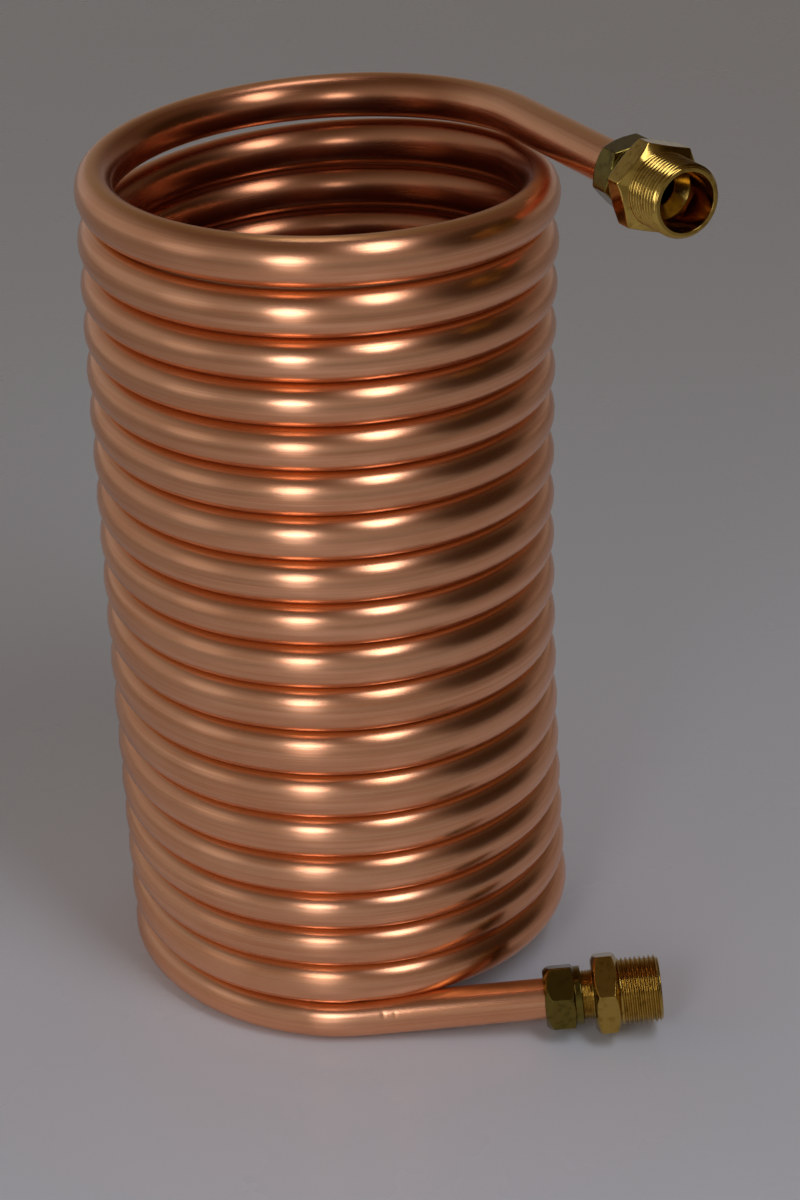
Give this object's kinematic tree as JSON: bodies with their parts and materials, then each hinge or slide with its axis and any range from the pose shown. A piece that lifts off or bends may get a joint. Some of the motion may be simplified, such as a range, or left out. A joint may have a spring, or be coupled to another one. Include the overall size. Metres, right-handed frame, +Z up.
{
  "type": "copper tube coil",
  "caption": "Round copper tube wound into an upright open coil, with a straight lead at top and bottom and a brass compression adapter to a male pipe thread on each.",
  "frame": {"origin": "on the floor, under the middle of the bounding box of the standing coil", "axes": "+Z up, close to the coil's axis; +X to the right, along the lower lead; -Y to the front, the side that the lower lead leaves"},
  "size_m": [0.2196, 0.1956, 0.3595],
  "materials": {
    "copper": "bright drawn copper, satin",
    "brass": "machined brass, polished"
  },
  "bodies": {
    "root": {"coil_tube": "copper", "lower_compression_nut": "brass", "lower_compression_ring": "brass", "lower_adapter_body": "brass", "upper_compression_nut": "brass", "upper_compression_ring": "brass", "upper_adapter_body": "brass"}
  },
  "joints": []
}
